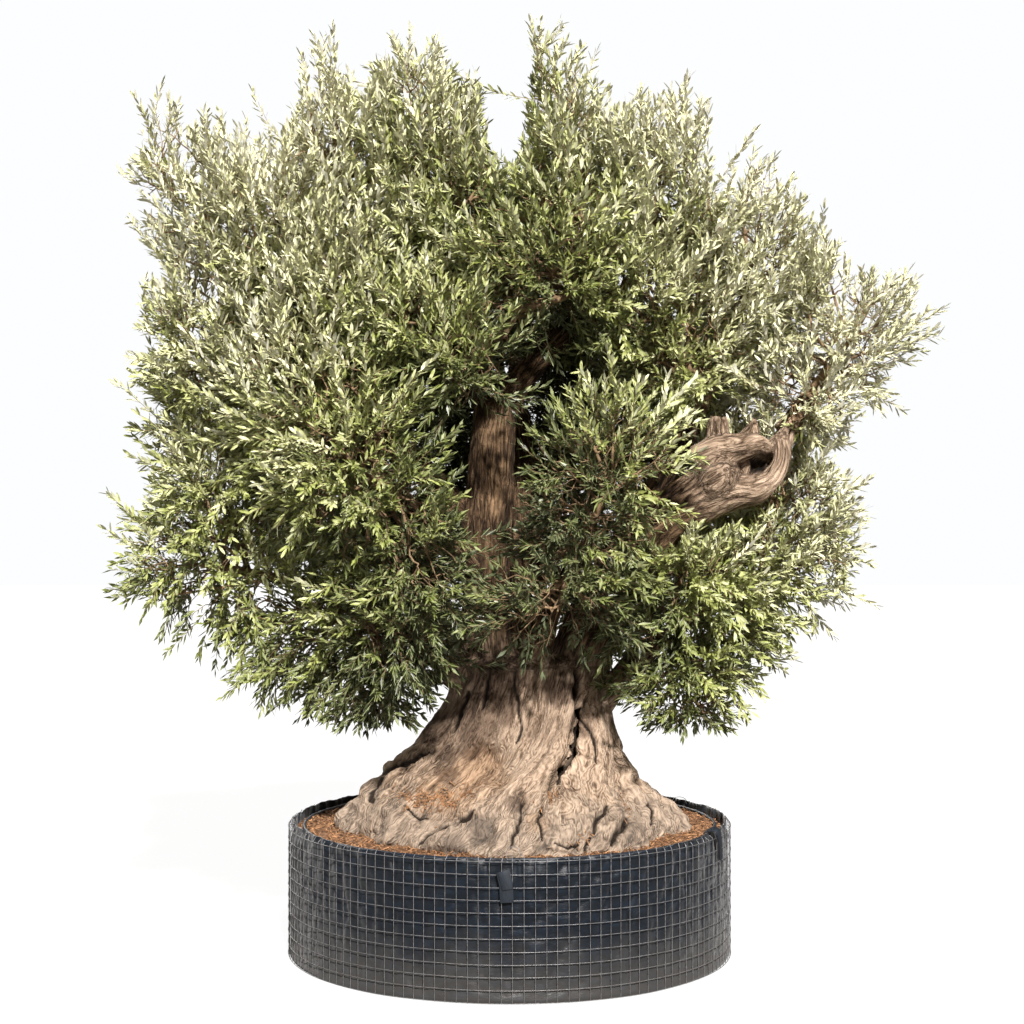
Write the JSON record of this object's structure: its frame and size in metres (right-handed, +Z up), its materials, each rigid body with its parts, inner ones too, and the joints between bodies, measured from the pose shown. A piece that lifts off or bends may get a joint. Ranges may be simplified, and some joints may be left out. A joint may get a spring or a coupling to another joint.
{
  "type": "potted ancient olive tree",
  "caption": "Old pruned olive tree with a broad flared trunk, forked boughs and a full leafy crown, in a round nursery crate of liner and wire mesh.",
  "frame": {"origin": "centre of the crate's flat underside, at the level it stands on", "axes": "+Z up the trunk, -Y towards the front, +X to the right seen from the front"},
  "size_m": [3.7588, 2.4089, 4.1876],
  "materials": {
    "trunk_bark": "pale grey-tan furrowed bark, dull",
    "bough_bark": "brown fissured bark, dull",
    "foliage": "grey-green leaves with silvery undersides, satin",
    "soil": "orange-brown shredded mulch on soil, rough",
    "liner": "black sheet, dusty near the ground",
    "wire": "galvanised wire, dull and slightly rusty",
    "hose": "black irrigation pipe, satin",
    "strap": "dark grey plastic, dull"
  },
  "bodies": {
    "root": {"back_left": "foliage", "back_low_left": "foliage", "back_low_right": "foliage", "back_middle": "foliage", "back_right": "foliage", "bough_back": "bough_bark", "bough_back_left": "bough_bark", "bough_back_right": "bough_bark", "bough_centre": "bough_bark", "bough_far_right": "bough_bark", "bough_front": "bough_bark", "bough_left": "bough_bark", "bough_left_front": "bough_bark", "bough_low_left": "bough_bark", "bough_low_right": "bough_bark", "bough_right": "bough_bark", "bough_right_upper": "bough_bark", "bough_top_left": "bough_bark", "bough_top_right": "bough_bark", "centre_front": "foliage", "centre_upper": "foliage", "crest_back": "foliage", "crest_far_left": "foliage", "crest_left": "foliage", "crest_mid_left": "foliage", "crest_mid_right": "foliage", "crest_right": "foliage", "drip_hose": "hose", "far_left": "foliage", "far_right": "foliage", "front_low": "foliage", "left_front": "foliage", "left_upper": "foliage", "liner": "liner", "low_far_left": "foliage", "low_far_right": "foliage", "low_left": "foliage", "low_right": "foliage", "right_middle": "foliage", "shoulder_right": "foliage", "soil": "soil", "strap_end": "strap", "trunk": "trunk_bark", "wire_cage": "wire"}
  },
  "joints": []
}
